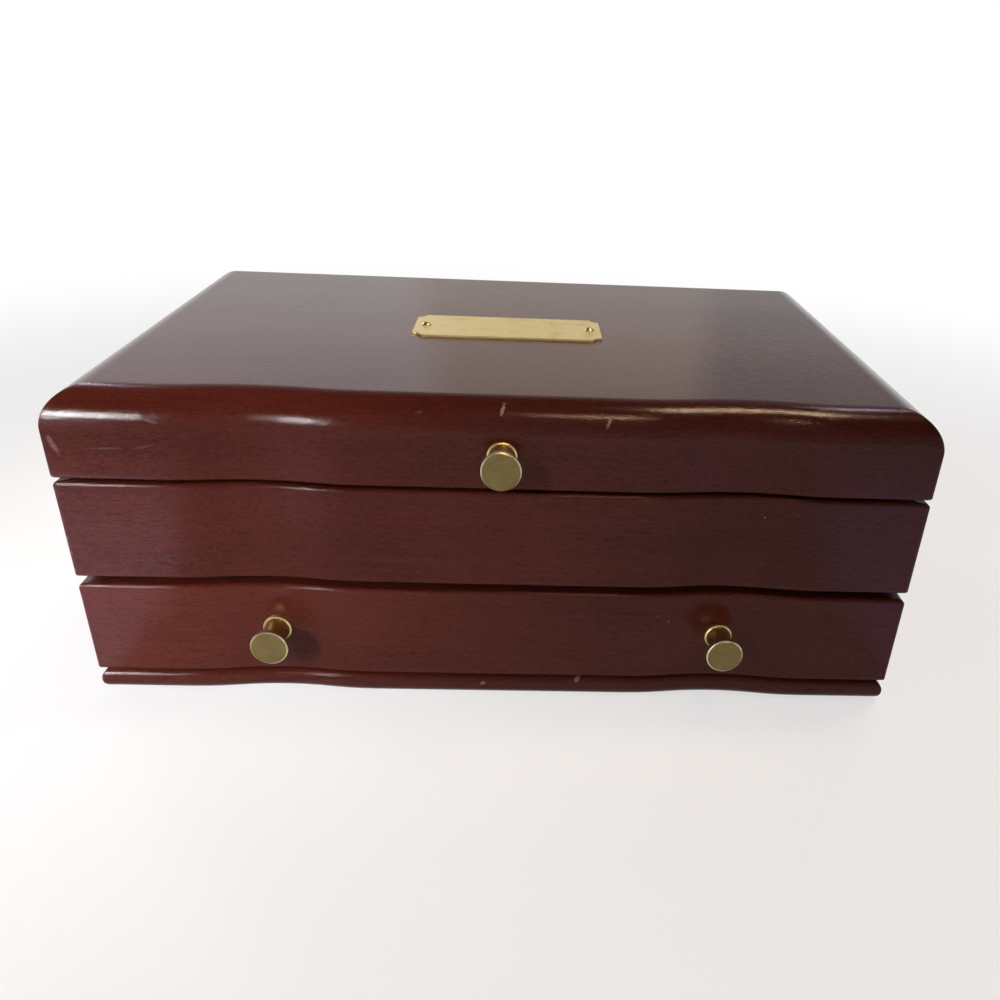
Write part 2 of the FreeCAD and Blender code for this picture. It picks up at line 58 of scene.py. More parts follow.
def addCamera(view):
    yaw, pitch, roll = (math.radians(view[k]) for k in ("yaw", "pitch", "roll"))
    ahead = Vector((math.sin(yaw) * math.cos(pitch), math.cos(yaw) * math.cos(pitch), -math.sin(pitch)))
    right = Vector((math.cos(yaw), -math.sin(yaw), 0))
    up = right.cross(ahead)
    rightRolled = math.cos(roll) * right + math.sin(roll) * up
    upRolled = math.cos(roll) * up - math.sin(roll) * right
    turn = Matrix((rightRolled, upRolled, -ahead)).transposed().to_4x4()
    lens = bpy.data.cameras.new("camera")
    lens.sensor_width = view["filmWidth"]
    lens.lens = view["filmWidth"] * view["focalShare"]
    lens.shift_x, lens.shift_y = view["shift"]
    lens.clip_start, lens.clip_end = view["nearest"], view["farthest"]
    camera = bpy.data.objects.new("camera", lens)
    bpy.context.scene.collection.objects.link(camera)
    camera.matrix_world = Matrix.Translation(view["place"]) @ turn
    bpy.context.scene.camera = camera


# small helpers for building node trees
def addNode(tree, kind, inputs=None, **settings):
    node = tree.nodes.new(kind)
    for key, value in settings.items():
        setattr(node, key, value)
    for key, value in (inputs or {}).items():
        if isinstance(value, bpy.types.NodeSocket):
            tree.links.new(value, node.inputs[key])
        else:
            node.inputs[key].default_value = value
    return node


def maths(tree, how, a, b=0.0, c=0.0, clamp=False):
    return addNode(tree, "ShaderNodeMath", {0: a, 1: b, 2: c}, operation=how, use_clamp=clamp).outputs[0]


def times(tree, value, share):
    return maths(tree, "MULTIPLY", value, share)


def weighted(tree, *layers):
    # the layers added up, each with its weight
    total = None
    for value, weight in layers:
        if total is None:
            total = times(tree, value, weight)
        else:
            total = maths(tree, "MULTIPLY_ADD", value, weight, total)
    return total


def length(tree, vector):
    return addNode(tree, "ShaderNodeVectorMath", {0: vector}, operation="LENGTH").outputs["Value"]


def blendColour(tree, factor, first, second):
    return addNode(tree, "ShaderNodeMix", {0: factor, 6: first, 7: second}, data_type="RGBA").outputs[2]


def spread(tree, value, low, high, newLow=0.0, newHigh=1.0):
    inputs = {0: value, 1: low, 2: high, 3: newLow, 4: newHigh}
    return addNode(tree, "ShaderNodeMapRange", inputs, interpolation_type="SMOOTHSTEP").outputs[0]


def objectPlace(tree):
    return addNode(tree, "ShaderNodeTexCoord").outputs["Object"]


def objectCoords(tree, scale=(1, 1, 1), turn=(0, 0, 0), move=(0, 0, 0)):
    inputs = {"Vector": objectPlace(tree), "Scale": scale, "Rotation": turn, "Location": move}
    return addNode(tree, "ShaderNodeMapping", inputs).outputs[0]


def rescaled(tree, coords, scale):
    return addNode(tree, "ShaderNodeMapping", {"Vector": coords, "Scale": scale}).outputs[0]


def axes(tree, coords):
    return addNode(tree, "ShaderNodeSeparateXYZ", {0: coords}).outputs


def noise(tree, coords, scale, detail, rough, warp=0.0):
    inputs = {"Vector": coords, "Scale": scale, "Detail": detail, "Roughness": rough, "Distortion": warp}
    return addNode(tree, "ShaderNodeTexNoise", inputs).outputs[0]


# how far the softened normal agrees with the flat one: off an edge, and on it
edgeAgreement = (0.97, 0.80)


def roundedNormal(tree, radius):
    # a softened normal at the edges, and how near the edge a point is
    flat = addNode(tree, "ShaderNodeNewGeometry").outputs["Normal"]
    rounded = addNode(tree, "ShaderNodeBevel", {"Radius": radius}, samples=4).outputs[0]
    agree = addNode(tree, "ShaderNodeVectorMath", {0: rounded, 1: flat}, operation="DOT_PRODUCT")
    return rounded, spread(tree, agree.outputs["Value"], *edgeAgreement)


def addBump(tree, shader, height, bump, normal=None):
    strength, distance = bump
    inputs = {"Strength": strength, "Distance": distance, "Height": height}
    if normal:
        inputs["Normal"] = normal
    relief = addNode(tree, "ShaderNodeBump", inputs)
    tree.links.new(relief.outputs[0], shader.inputs["Normal"])


socketNames = {
    "metallic": "Metallic", "specular": "Specular IOR Level", "stretch": "Anisotropic",
    "sheen": "Sheen Weight", "sheenRoughness": "Sheen Roughness", "sheenTint": "Sheen Tint",
}


def startMaterial(name, **fixed):
    material = bpy.data.materials.new(name)
    material.use_nodes = True
    shader = material.node_tree.nodes["Principled BSDF"]
    for key, value in fixed.items():
        shader.inputs[socketNames[key]].default_value = value
    return material, material.node_tree, shader


def wear(material, *names):
    for name in names:
        piece = parts[name]
        piece.data.materials.clear()
        piece.data.materials.append(material)


# the floor is seen a little paler than it is lit, and turns white away from the box
stageLook = {
    "floorSize": 40.0,
    "floorColour": (0.88, 0.88, 0.88, 1),
    "white": (1, 1, 1, 1),
    "nearReach": 0.22,
    "farReach": 0.75,
    "whiteNear": 0.62,
    "whiteFar": 1.0,
    "wallRise": (0.05, 0.26),     # heights on the sky are sines of the angle above level
    "ceilingRise": (0.32, 0.84),
    "skyLevel": 1.0,
    "wallLevel": 0.48,
    "ceilingShare": 0.12,
    "fillLevel": 0.22,
}


def seenRays(tree):
    rays = addNode(tree, "ShaderNodeLightPath")
    seen = maths(tree, "ADD", rays.outputs["Is Camera Ray"], rays.outputs["Is Glossy Ray"])
    return maths(tree, "ADD", seen, rays.outputs["Is Transmission Ray"], clamp=True)


def addFloor(look):
    bpy.ops.object.select_all(action="DESELECT")
    bpy.ops.mesh.primitive_plane_add(size=look["floorSize"], location=(0, 0, 0))
    floor = bpy.context.object
    floor.name = "floor"
    material, tree, shader = startMaterial("paleFloor")
    tree.nodes.remove(shader)
    matt = addNode(tree, "ShaderNodeBsdfDiffuse", {"Color": look["floorColour"]})
    white = addNode(tree, "ShaderNodeEmission", {"Color": look["white"], "Strength": 1.0})
    reach = length(tree, objectCoords(tree))
    share = spread(tree, reach, look["nearReach"], look["farReach"], look["whiteNear"], look["whiteFar"])
    share = times(tree, seenRays(tree), share)
    both = addNode(tree, "ShaderNodeMixShader", {0: share, 1: matt.outputs[0], 2: white.outputs[0]})
    tree.links.new(both.outputs[0], tree.nodes["Material Output"].inputs["Surface"])
    floor.data.materials.append(material)


def addRoom(look):
    world = bpy.data.worlds.new("room")
    bpy.context.scene.world = world
    world.use_nodes = True
    tree = world.node_tree
    height = axes(tree, addNode(tree, "ShaderNodeTexCoord").outputs["Generated"])["Z"]
    low = spread(tree, height, *look["wallRise"], look["skyLevel"], look["wallLevel"])
    high = spread(tree, height, *look["ceilingRise"], 1.0, look["ceilingShare"])
    lift = maths(tree, "SUBTRACT", times(tree, low, high), look["fillLevel"])
    level = maths(tree, "MULTIPLY_ADD", seenRays(tree), lift, look["fillLevel"])
    sky = tree.nodes["Background"]
    tree.links.new(level, sky.inputs["Strength"])
    sky.inputs["Color"].default_value = look["white"]


# each lamp: place, the point it faces, width, height, brightness of its face, beam in degrees, colour
# the two cards lie on the floor and light the front's two ends from below
lamps = {
    "keyLeft": ((-0.86, -1.31, 0.745), (-0.20, -0.09, 0.06), 0.18, 0.27, 400.0, 17, (1.0, 0.98, 0.98)),
    "nearLeft": ((-0.40, -0.40, 0.14), (-0.19, -0.09, 0.05), 0.20, 0.20, 7.0, 70, (0.86, 0.76, 1.0)),
    "cardLeft": ((-0.235, -0.185, 0.002), (-0.235, -0.185, 1.0), 0.19, 0.17, 1.9, 180, (0.78, 0.70, 1.0)),
    "cardRight": ((0.25, -0.200, 0.002), (0.25, -0.200, 1.0), 0.20, 0.20, 0.65, 180, (0.30, 0.26, 1.0)),
    "overMiddle": ((0.17, -0.57, 1.47), (0.03, -0.09, 0.10), 0.10, 0.14, 80.0, 40, (1.0, 0.66, 0.40)),
    "overRight": ((0.44, 0.20, 1.50), (0.08, -0.085, 0.107), 0.30, 0.16, 52.0, 50, (1.0, 0.72, 0.44)),
    "backLeft": ((-0.85, 2.0, 0.85), (-0.05, 0, 0.1), 1.3, 0.7, 0.6, 180, (1.0, 0.95, 0.97)),
    "backMiddle": ((0.12, 2.2, 0.90), (0, 0, 0.1), 0.8, 0.7, 0.45, 180, (1.0, 0.72, 0.50)),
    "lineLeft": ((-1.09, 1.29, 1.19), (-0.12, -0.08, 0.1), 0.35, 0.35, 20.0, 60, (0.88, 0.80, 1.0)),
    "lineRight": ((0.65, 0.91, 1.24), (0.12, -0.08, 0.1), 0.20, 0.14, 18.0, 60, (0.84, 0.80, 1.0)),
    "fillRight": ((1.1, -0.9, 0.5), (0.05, -0.05, 0.05), 0.8, 0.6, 1.1, 180, (0.56, 0.58, 1.0)),
    "frontHigh": ((0.1, -1.5, 1.9), (0, 0, 0.05), 0.9, 0.6, 0.4, 180, (1.0, 0.98, 0.95)),
}
widestBeam = math.radians(179)   # the power is worked out with a tangent, which has no value at 180


def addLamps(rows):
    for name, (place, aim, width, height, level, beam, colour) in rows.items():
        lamp = bpy.data.lights.new(name, "AREA")
        lamp.shape = "RECTANGLE"
        lamp.size, lamp.size_y = width, height
        lamp.spread = math.radians(beam)
        half = min(lamp.spread, widestBeam) / 2
        lamp.energy = level * math.pi * width * height * (1 - half / math.tan(half))
        lamp.color = colour
        holder = bpy.data.objects.new(name, lamp)
        bpy.context.scene.collection.objects.link(holder)
        facing = (Vector(aim) - Vector(place)).to_track_quat("-Z", "Y")
        holder.matrix_world = Matrix.Translation(place) @ facing.to_matrix().to_4x4()
        holder.visible_camera = False


addCamera(cameraView)
addFloor(stageLook)
addRoom(stageLook)
addLamps(lamps)
bpy.context.scene.view_settings.view_transform = "Standard"
print("camera, stage and lamps placed")


# stained cherry under a satin lacquer
cherry = {
    "deep": (0.032, 0.0052, 0.0028, 1),
    "warm": (0.072, 0.0138, 0.0078, 1),
    "pore": (0.010, 0.0015, 0.0011, 1),
    "wornEdge": (0.130, 0.034, 0.022, 1),
    "bare": (0.50, 0.33, 0.31, 1),
    "specular": 0.15,
    "roughness": (0.095, 0.12, 0.20),     # least, what smears add, what worn spots add
    "edgeRadius": 0.0012,
    "bump": (0.12, 0.00025),              # strength and depth of all the relief
    # patterns along the grain: waves a metre along and across it, then detail, roughness, distortion
    "grain": {
        "bands": (2.2, 26, 3.0, 0.5, 0.4),
        "fibres": (22, 900, 4.0, 0.65),
        "hairs": (40, 2300, 2.0, 0.6),
        "pores": (300, 1900, 2.0, 0.5),
        "flecks": (620, 1500, 2.0, 0.7),
        "smear": (9, 30, 4.0, 0.6, 0.6),
    },
    # patterns that run every way: waves a metre, detail, roughness
    "cloud": (17.0, 3.0, 0.5),
    "rub": (95.0, 4.0, 0.7),
    "chips": (520.0, 2.0, 0.6),
    "ragged": (900.0, 3.0, 0.6),
    "dust": (1050.0, 2.0, 0.6),
    "speckScale": 260.0,
    # shares of the tone, and the relief of each pattern
    "bandTone": 0.46, "fibreTone": 0.22, "cloudTone": 0.32, "fleckTone": 0.44,
    "hairRelief": 0.15, "fibreRelief": 0.4, "dustRelief": 2.2, "poreRelief": 0.4, "bareRelief": 0.8,
    # where a pattern starts and is full
    "toneRange": (0.50, 0.94),
    "poreRange": (0.58, 0.68),
    "wearRange": (0.42, 0.66),
    "speckRange": (0.10, 0.05),
    "speckPatches": (0.60, 0.68),
    "chipRange": (0.62, 0.68),
    "jointRange": (0.0016, 0.0030),       # edges stay sharp this near the lid's glue line
    "poreShare": 0.40, "wearShare": 0.8, "speckShare": 0.35, "chipShare": 0.40,
}

# small scuffs on the lid and plinth: centre, half length, half width, lean from level in degrees, strength
lidMarks = [
    ((0.0000, -0.0880, 0.1060), 0.0026, 0.0006, 70, 0.42),
    ((0.0330, -0.0908, 0.1035), 0.0020, 0.0006, 65, 0.32),
    ((-0.1370, -0.0930, 0.0925), 0.0040, 0.0010, 112, 0.13),
    ((-0.1210, -0.0925, 0.0915), 0.0055, 0.0004, 2, 0.06),
    ((-0.1065, -0.0920, 0.1003), 0.0030, 0.0005, -14, 0.10),
    ((-0.0257, -0.0896, 0.1048), 0.0016, 0.0005, 4, 0.07),
    ((-0.1100, -0.0925, 0.0922), 0.0035, 0.0004, 12, 0.05),
]
plinthMarks = [
    ((-0.0061, -0.0929, 0.0059), 0.0011, 0.0007, 20, 0.30),
    ((0.0278, -0.0918, 0.0076), 0.0014, 0.0008, 35, 0.34),
]
# how deep a mark reaches, how ragged its rim is, and where it starts and is full, as shares of its half size
markRim = {"halfDepth": 0.004, "raggedness": 1.6, "range": (1.15, 0.35)}


def markMask(tree, marks, ragged):
    place = objectPlace(tree)
    raggedBy = times(tree, maths(tree, "SUBTRACT", ragged, 0.5), markRim["raggedness"])
    total = None
    for centre, halfLength, halfWidth, lean, strength in marks:
        away = addNode(tree, "ShaderNodeVectorMath", {0: place, 1: centre}, operation="SUBTRACT")
        out = axes(tree, away.outputs[0])
        cosLean, sinLean = math.cos(math.radians(lean)), math.sin(math.radians(lean))
        along = maths(tree, "ADD", times(tree, out["X"], cosLean / halfLength),
                      times(tree, out["Z"], sinLean / halfLength))
        across = maths(tree, "SUBTRACT", times(tree, out["Z"], cosLean / halfWidth),
                       times(tree, out["X"], sinLean / halfWidth))
        depth = times(tree, out["Y"], 1 / markRim["halfDepth"])
        size = length(tree, addNode(tree, "ShaderNodeCombineXYZ", {0: along, 1: across, 2: depth}).outputs[0])
        size = maths(tree, "ADD", size, raggedBy)
        mark = spread(tree, size, *markRim["range"], 0.0, strength)
        total = maths(tree, "MAXIMUM", total, mark) if total else mark
    return total


def cherryWood(name, run, shift, jointLevel=None, marks=None):
    material, tree, shader = startMaterial(name, specular=cherry["specular"])
    turn = (0, 0, 0) if run == "x" else (0, 0, math.pi / 2)
    along = objectCoords(tree, turn=turn, move=shift)
    plain = objectCoords(tree, move=shift)

    def grain(pattern):
        lengthScale, crossScale, *settings = cherry["grain"][pattern]
        return noise(tree, rescaled(tree, along, (lengthScale, crossScale, crossScale)), 1.0, *settings)

    fibres = grain("fibres")
    tone = weighted(tree, (fibres, cherry["fibreTone"]), (grain("bands"), cherry["bandTone"]),
                    (noise(tree, plain, *cherry["cloud"]), cherry["cloudTone"]),
                    (grain("flecks"), cherry["fleckTone"]))
    colour = blendColour(tree, spread(tree, tone, *cherry["toneRange"]), cherry["deep"], cherry["warm"])
    pores = spread(tree, grain("pores"), *cherry["poreRange"])
    colour = blendColour(tree, times(tree, pores, cherry["poreShare"]), colour, cherry["pore"])

    smooth, edge = roundedNormal(tree, cherry["edgeRadius"])
    if jointLevel:
        away = maths(tree, "SUBTRACT", axes(tree, objectCoords(tree))["Z"], jointLevel)
        away = spread(tree, maths(tree, "ABSOLUTE", away), *cherry["jointRange"])
        edge = times(tree, edge, away)
        flat = addNode(tree, "ShaderNodeNewGeometry").outputs["Normal"]
        smooth = addNode(tree, "ShaderNodeMix", {0: away, 4: flat, 5: smooth}, data_type="VECTOR").outputs[1]
    rub = noise(tree, plain, *cherry["rub"])
    edgeWear = times(tree, edge, spread(tree, rub, *cherry["wearRange"]))
    colour = blendColour(tree, times(tree, edgeWear, cherry["wearShare"]), colour, cherry["wornEdge"])

    # pin-point specks and chips in the lacquer
    inputs = {"Vector": plain, "Scale": cherry["speckScale"]}
    cells = addNode(tree, "ShaderNodeTexVoronoi", inputs, feature="F1")
    specks = times(tree, spread(tree, cells.outputs["Distance"], *cherry["speckRange"]),
                   spread(tree, rub, *cherry["speckPatches"]))
    chips = noise(tree, plain, *cherry["chips"])
    chips = times(tree, edge, spread(tree, chips, *cherry["chipRange"]))
    bare = weighted(tree, (chips, cherry["chipShare"]), (specks, cherry["speckShare"]))
    if marks:
        ragged = noise(tree, plain, *cherry["ragged"])
        bare = maths(tree, "MAXIMUM", bare, markMask(tree, marks, ragged))
    colour = blendColour(tree, bare, colour, cherry["bare"])
    tree.links.new(colour, shader.inputs["Base Color"])

    least, smearRough, wornRough = cherry["roughness"]
    rough = maths(tree, "MULTIPLY_ADD", grain("smear"), smearRough, least)
    rough = maths(tree, "MULTIPLY_ADD", maths(tree, "MAXIMUM", edgeWear, bare), wornRough, rough)
    tree.links.new(rough, shader.inputs["Roughness"])

    dust = noise(tree, plain, *cherry["dust"])
    relief = weighted(tree, (fibres, cherry["fibreRelief"]), (grain("hairs"), cherry["hairRelief"]),
                      (dust, cherry["dustRelief"]))
    relief = maths(tree, "SUBTRACT", relief, times(tree, pores, cherry["poreRelief"]))
    relief = maths(tree, "SUBTRACT", relief, times(tree, bare, cherry["bareRelief"]))
    addBump(tree, shader, relief, cherry["bump"], smooth)
    return material


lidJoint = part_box("lid_panel")[0].z
lidWood = cherryWood("cherryLid", "x", (0.11, 0.02, 0.31), lidJoint, lidMarks)
lidEndWood = cherryWood("cherryLidSides", "y", (0.47, 0.13, 0.22), lidJoint)
caseWood = cherryWood("cherryCase", "x", (0.83, 0.41, 0.05))
caseEndWood = cherryWood("cherryCaseSides", "y", (0.29, 0.61, 0.17))
drawerWood = cherryWood("cherryDrawer", "x", (0.57, 0.23, 0.71))
plinthWood = cherryWood("cherryPlinth", "x", (0.05, 0.77, 0.43), None, plinthMarks)
wear(lidWood, "lid_panel", "lid_front_rail", "lid_back_rail")
wear(lidEndWood, "lid_side_rail_left", "lid_side_rail_right")
wear(caseWood, "case_front", "case_back")
wear(caseEndWood, "case_side_left", "case_side_right")
wear(drawerWood, "drawer_front")
wear(plinthWood, "base_plinth")
print("outside wood finished")


# wiped stain without lacquer, on the wood that the drawer hides
innerStain = {
    "deep": (0.125, 0.046, 0.030, 1),
    "warm": (0.245, 0.108, 0.072, 1),
    "ring": (0.075, 0.026, 0.018, 1),
    "dust": (0.33, 0.21, 0.16, 1),
    "specular": 0.25,
    "grainScale": (3.0, 60, 60),
    "fibreScale": (14, 18, 18),           # times the grain's scale
    "fibres": (1.0, 4.0, 0.65),           # each pattern: scale, detail, roughness, distortion
    "bands": (1.0, 3.0, 0.5),
    "rings": (0.8, 2.0, 0.45, 0.5),
    "rub": (60.0, 4.0, 0.7),
    "ringCount": 42.0,
    "fibreTone": 0.7, "bandTone": 0.4, "ringRelief": 0.12,
    "toneRange": (0.35, 0.75),
    "ringRange": (0.72, 1.0, 0.0, 0.5),
    "dustRange": (0.4, 0.7, 0.0, 0.6),
    "roughness": (0.3, 0.7, 0.62, 0.80),
    "edgeRadius": 0.0006,
    "bump": (0.35, 0.0003),
}


def innerWood(name, run, shift):
    look = innerStain
    material, tree, shader = startMaterial(name, specular=look["specular"])
    turn = (0, 0, 0) if run == "x" else (0, 0, math.pi / 2)
    along = rescaled(tree, objectCoords(tree, turn=turn, move=shift), look["grainScale"])
    fine = noise(tree, rescaled(tree, along, look["fibreScale"]), *look["fibres"])
    rings = maths(tree, "SINE", times(tree, noise(tree, along, *look["rings"]), look["ringCount"]))
    bands = noise(tree, along, *look["bands"])
    tone = weighted(tree, (bands, look["bandTone"]), (fine, look["fibreTone"]))
    colour = blendColour(tree, spread(tree, tone, *look["toneRange"]), look["deep"], look["warm"])
    colour = blendColour(tree, spread(tree, rings, *look["ringRange"]), colour, look["ring"])
    smooth, edge = roundedNormal(tree, look["edgeRadius"])
    rub = noise(tree, objectCoords(tree, move=shift), *look["rub"])
    dusty = times(tree, edge, spread(tree, rub, *look["dustRange"]))
    tree.links.new(blendColour(tree, dusty, colour, look["dust"]), shader.inputs["Base Color"])
    tree.links.new(spread(tree, fine, *look["roughness"]), shader.inputs["Roughness"])
    relief = maths(tree, "MULTIPLY_ADD", rings, look["ringRelief"], fine)
    addBump(tree, shader, relief, look["bump"], smooth)
    return material


wear(innerWood("innerAcross", "x", (0.21, 0.33, 0.12)), "deck", "drawer_back", "drawer_bottom", "drawer_stop")
wear(innerWood("innerDeep", "y", (0.63, 0.18, 0.44)), "drawer_side_left", "drawer_side_right",
     "drawer_kicker_left", "drawer_kicker_right")


# turned brass knobs: a dull ringed face, a bright rim and a polished neck. The face's brass is painted dark,
# a painted reflection of dark surroundings, and the rim and the head's side take a paler brass, a painted
# highlight along the rim
knobBrass = {
    # the two face colours are painted shade: a dark brass standing in for the dark surroundings the flat face
    # reflects
    "face": (0.190, 0.146, 0.058, 1),
    "faceDark": (0.140, 0.108, 0.042, 1),
    # a paler brass for the head's rim and side, a painted highlight along the rim
    "rim": (0.70, 0.62, 0.41, 1),
    "neck": (0.80, 0.64, 0.25, 1),
    "tarnish": (0.48, 0.36, 0.13, 1),
    "shine": 0.6,                         # how far the gleam is drawn out round the knob
    "faceRoughness": 0.42,
    "neckRoughness": 0.30,
    "mottleRoughness": 0.12,
    "ringPitch": 0.00030,
    "rimWidth": 0.00028,
    "rimFade": 0.00046,                   # the face is dull this far in from its edge
    "frontRange": (0.00035, 0.00015),     # depths behind the front: past the face, on it
    "headRange": (0.0032, 0.0026),        # and past the head, on it
    "wideRings": (2600.0, 3.0, 0.6),
    "mottle": (320.0, 4.0, 0.6),
    "ringTone": 0.7, "mottleTone": 0.5,
    "toneRange": (0.42, 0.78),
    "tarnishRange": (0.50, 0.72, 0.0, 0.7),
    "wideRelief": 1.4, "mottleRelief": 0.25,
    "bump": (0.5, 0.00003),
}


def knobFinish(node):
    look = knobBrass
    low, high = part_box(node)
    centre, radius = (low + high) / 2, (high.x - low.x) / 2
    material, tree, shader = startMaterial("brass_" + node, metallic=1.0, stretch=look["shine"])
    tangent = addNode(tree, "ShaderNodeTangent", direction_type="RADIAL", axis="Y").outputs[0]
    tree.links.new(tangent, shader.inputs["Tangent"])
    place = objectCoords(tree, move=(-centre.x, -low.y, -centre.z))
    out = axes(tree, place)
    reach = length(tree, addNode(tree, "ShaderNodeCombineXYZ", {0: out["X"], 1: out["Z"]}).outputs[0])
    inRim = spread(tree, reach, radius - look["rimWidth"], radius - look["rimFade"])
    face = times(tree, spread(tree, out["Y"], *look["frontRange"]), inRim)
    head = spread(tree, out["Y"], *look["headRange"])
    rings = maths(tree, "SINE", times(tree, reach, 2 * math.pi / look["ringPitch"]))
    outward = addNode(tree, "ShaderNodeCombineXYZ", {0: reach}).outputs[0]
    wideRings = noise(tree, outward, *look["wideRings"])
    mottle = noise(tree, place, *look["mottle"])
    faceTone = weighted(tree, (mottle, look["mottleTone"]), (wideRings, look["ringTone"]))
    # the face gets its painted-dark colours
    faceColourPaintedDark = blendColour(tree, spread(tree, faceTone, *look["toneRange"]), look["faceDark"], look["face"])
    # the head's rim and side take the pale rim colour, a painted highlight
    sideColour = blendColour(tree, head, look["neck"], look["rim"])
    sideColour = blendColour(tree, spread(tree, mottle, *look["tarnishRange"]), sideColour, look["tarnish"])
    tree.links.new(blendColour(tree, face, sideColour, faceColourPaintedDark), shader.inputs["Base Color"])
    rough = maths(tree, "MULTIPLY_ADD", mottle, look["mottleRoughness"], look["neckRoughness"])
    rise = maths(tree, "SUBTRACT", look["faceRoughness"], rough)
    tree.links.new(maths(tree, "MULTIPLY_ADD", face, rise, rough), shader.inputs["Roughness"])
    height = times(tree, face, maths(tree, "MULTIPLY_ADD", wideRings, look["wideRelief"], rings))
    height = maths(tree, "MULTIPLY_ADD", mottle, look["mottleRelief"], height)
    addBump(tree, shader, height, look["bump"])
    wear(material, node)


for knob in ("lid_knob", "drawer_knob_left", "drawer_knob_right"):
    knobFinish(knob)


# rolled brass and turned screws: how far their fine lines are drawn out is their stretch
metalLooks = {
    "plateBrass": {"base": (0.78, 0.65, 0.28, 1), "dark": (0.63, 0.51, 0.20, 1), "roughness": 0.28,
                   "stretch": (60, 5200, 5200), "bump": 0.20, "edge": (0.10, 0.072, 0.030, 1)},
    "hingeBrass": {"base": (0.66, 0.51, 0.24, 1), "dark": (0.40, 0.29, 0.12, 1), "roughness": 0.22,
                   "stretch": (160, 2400, 2400), "bump": 0.25, "edge": (0.75, 0.62, 0.34, 1)},
    "screwBrass": {"base": (0.60, 0.49, 0.25, 1), "dark": (0.22, 0.15, 0.07, 1), "roughness": 0.22,
                   "stretch": (900, 900, 900), "bump": 0.35, "edge": (0.78, 0.68, 0.42, 1)},
    "screwSteel": {"base": (0.55, 0.55, 0.57, 1), "dark": (0.25, 0.25, 0.26, 1), "roughness": 0.24,
                   "stretch": (900, 900, 900), "bump": 0.35, "edge": (0.75, 0.75, 0.77, 1)},
}
metalWear = {
    "lines": (1.0, 3.0, 0.6),             # each pattern: scale, detail, roughness
    "mottle": (140.0, 4.0, 0.6),
    "spots": (700.0, 2.0, 0.5),
    "spotShift": (0.3, 0.1, 0.2),
    "mottleRange": (0.52, 0.74, 0.0, 0.55),
    "spotRange": (0.70, 0.78, 0.0, 0.7),
    "lineTone": 0.25, "edgeShare": 0.8,
    "lineRoughness": 0.16, "dullRoughness": 0.18,
    "edgeRadius": 0.0003,
    "bumpDepth": 0.00008,
}


def metalFinish(name, look):
    material, tree, shader = startMaterial(name, metallic=1.0)
    lines = noise(tree, objectCoords(tree, scale=look["stretch"]), *metalWear["lines"])
    mottle = noise(tree, objectCoords(tree), *metalWear["mottle"])
    spots = noise(tree, objectCoords(tree, move=metalWear["spotShift"]), *metalWear["spots"])
    dull = maths(tree, "MAXIMUM", spread(tree, mottle, *metalWear["mottleRange"]),
                 spread(tree, spots, *metalWear["spotRange"]))
    darkness = maths(tree, "MULTIPLY_ADD", lines, metalWear["lineTone"], dull)
    colour = blendColour(tree, darkness, look["base"], look["dark"])
    smooth, edge = roundedNormal(tree, metalWear["edgeRadius"])
    colour = blendColour(tree, times(tree, edge, metalWear["edgeShare"]), colour, look["edge"])
    tree.links.new(colour, shader.inputs["Base Color"])
    rough = maths(tree, "MULTIPLY_ADD", lines, metalWear["lineRoughness"], look["roughness"])
    rough = maths(tree, "MULTIPLY_ADD", dull, metalWear["dullRoughness"], rough)
    tree.links.new(rough, shader.inputs["Roughness"])
    addBump(tree, shader, lines, (look["bump"], metalWear["bumpDepth"]), smooth)
    return material


metals = {name: metalFinish(name, look) for name, look in metalLooks.items()}
wear(metals["plateBrass"], "name_plate")
wear(metals["hingeBrass"], "hinge_case_leaf_left", "hinge_case_leaf_right", "hinge_lid_leaf_left",
     "hinge_lid_leaf_right", "hinge_pin_left", "hinge_pin_right")
wear(metals["screwBrass"], "name_plate_screws", "hinge_case_screws", "hinge_lid_screws")
wear(metals["screwSteel"], "drawer_knob_screws", "lid_knob_screw")


# pressed wool felt under the base and on the lid's bumpers
felt = {
    "shader": {"specular": 0.1, "sheen": 0.35, "sheenRoughness": 0.5, "sheenTint": (0.5, 0.46, 0.42, 1)},
    "dark": (0.030, 0.027, 0.024, 1),
    "pale": (0.085, 0.077, 0.068, 1),
    "fibres": (1400.0, 5.0, 0.75, 1.2),   # each pattern: waves a metre, detail, roughness, distortion
    "tufts": (180.0, 4.0, 0.6),
    "fibreTone": 0.7, "tuftTone": 0.3,
    "toneRange": (0.35, 0.68),
    "roughness": (0.3, 0.7, 0.82, 0.98),
    "edgeRadius": 0.0004,
    "bump": (0.8, 0.0004),
}


def feltFinish(look):
    material, tree, shader = startMaterial("darkFelt", **look["shader"])
    fibres = noise(tree, objectCoords(tree), *look["fibres"])
    tufts = noise(tree, objectCoords(tree), *look["tufts"])
    tone = weighted(tree, (tufts, look["tuftTone"]), (fibres, look["fibreTone"]))
    colour = blendColour(tree, spread(tree, tone, *look["toneRange"]), look["dark"], look["pale"])
    tree.links.new(colour, shader.inputs["Base Color"])
    tree.links.new(spread(tree, fibres, *look["roughness"]), shader.inputs["Roughness"])
    addBump(tree, shader, tone, look["bump"], roundedNormal(tree, look["edgeRadius"])[0])
    return material


wear(feltFinish(felt), "base_felt", "lid_bumpers")


# slippery woven tape that the drawer runs on, rubbed along its middle
tape = {
    "specular": 0.4,
    "threads": 9000,                      # turns of the weave, in radians a metre
    "new": (0.74, 0.72, 0.66, 1),
    "rubbed": (0.52, 0.48, 0.41, 1),
    "thread": (0.60, 0.57, 0.50, 1),
    "rubScale": (700, 14, 700),
    "rubs": (1.0, 4.0, 0.6),
    "rubRange": (0.45, 0.75),
    "threadRange": (-0.2, 0.9, 0.0, 0.25),
    "roughness": (0.4, 0.7, 0.42, 0.60),
    "rubRelief": 0.5,
    "edgeRadius": 0.0003,
    "bump": (0.4, 0.0001),
}


